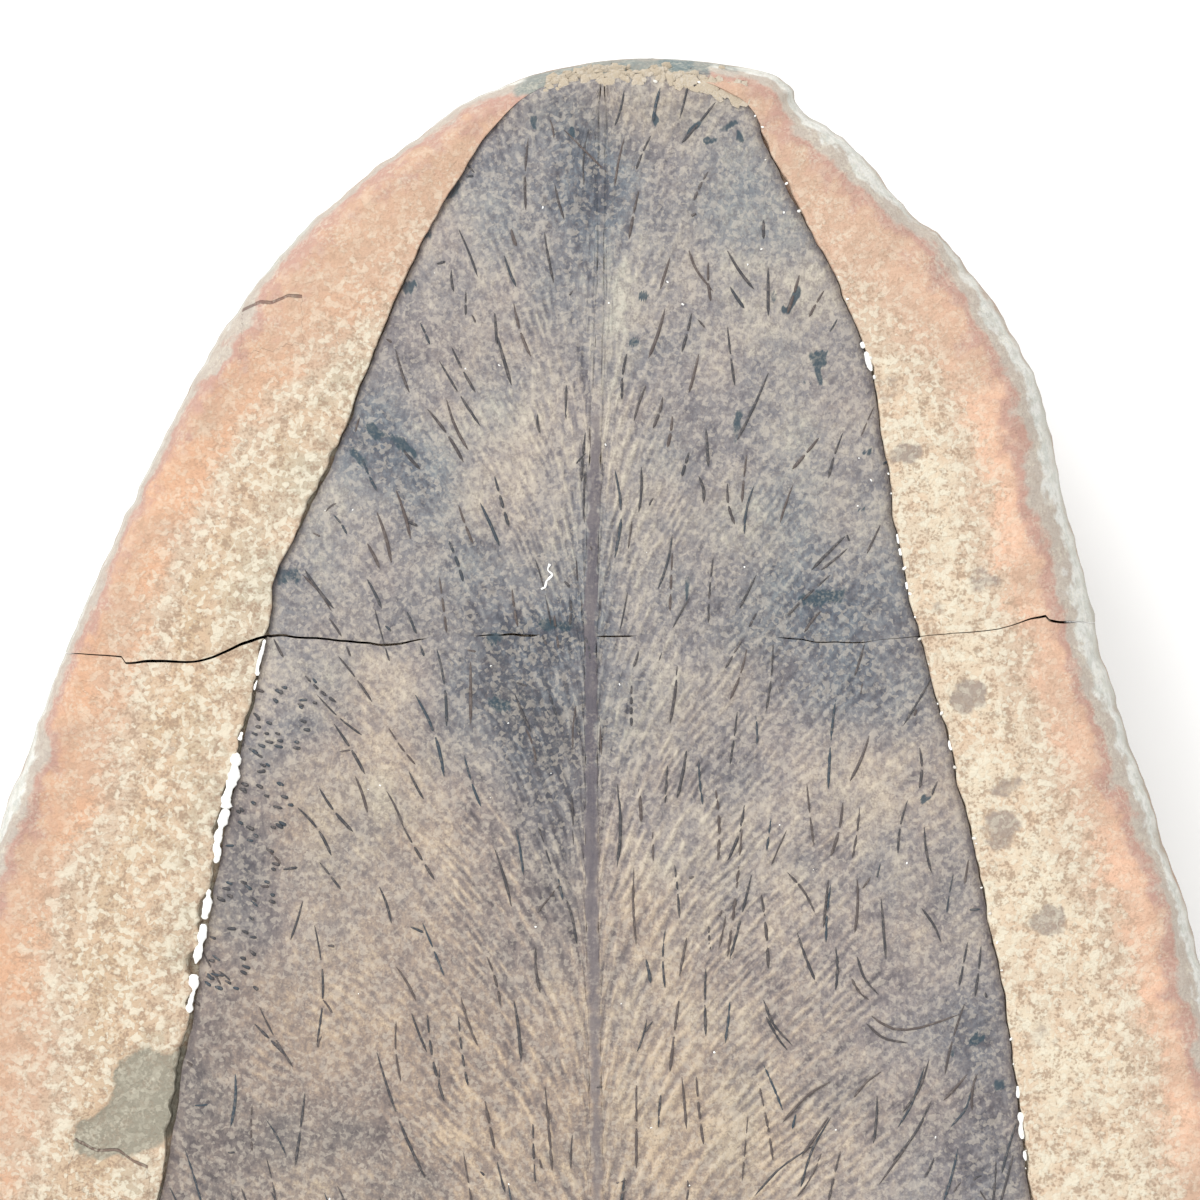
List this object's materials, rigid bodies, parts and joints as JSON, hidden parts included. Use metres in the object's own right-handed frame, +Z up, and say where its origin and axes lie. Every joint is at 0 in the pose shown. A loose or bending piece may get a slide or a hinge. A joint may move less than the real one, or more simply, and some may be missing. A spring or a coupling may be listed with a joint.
{
  "type": "fossil fern plate",
  "caption": "Half of a split ironstone nodule lying flat face up, with a long hairy fern leaflet pressed in it and a break right across.",
  "frame": {"origin": "middle of the bottom of the bounding box, on the surface that the stone lies on", "axes": "+Y towards the tip of the leaf, +Z up out of the split face, +X to the right seen from above"},
  "size_m": [0.063, 0.12, 0.0176],
  "materials": {
    "ironstone_tip": "matt, fine-grained",
    "ironstone_base": "matt, fine-grained",
    "leaf_film": "satin mineral film with fine veins",
    "seam_mineral": "matt, chalky",
    "leaf_hairs": "satin, carbonised"
  },
  "bodies": {
    "root": {"nodule_tip_piece": "ironstone_tip", "nodule_base_piece": "ironstone_base"}
  },
  "joints": []
}
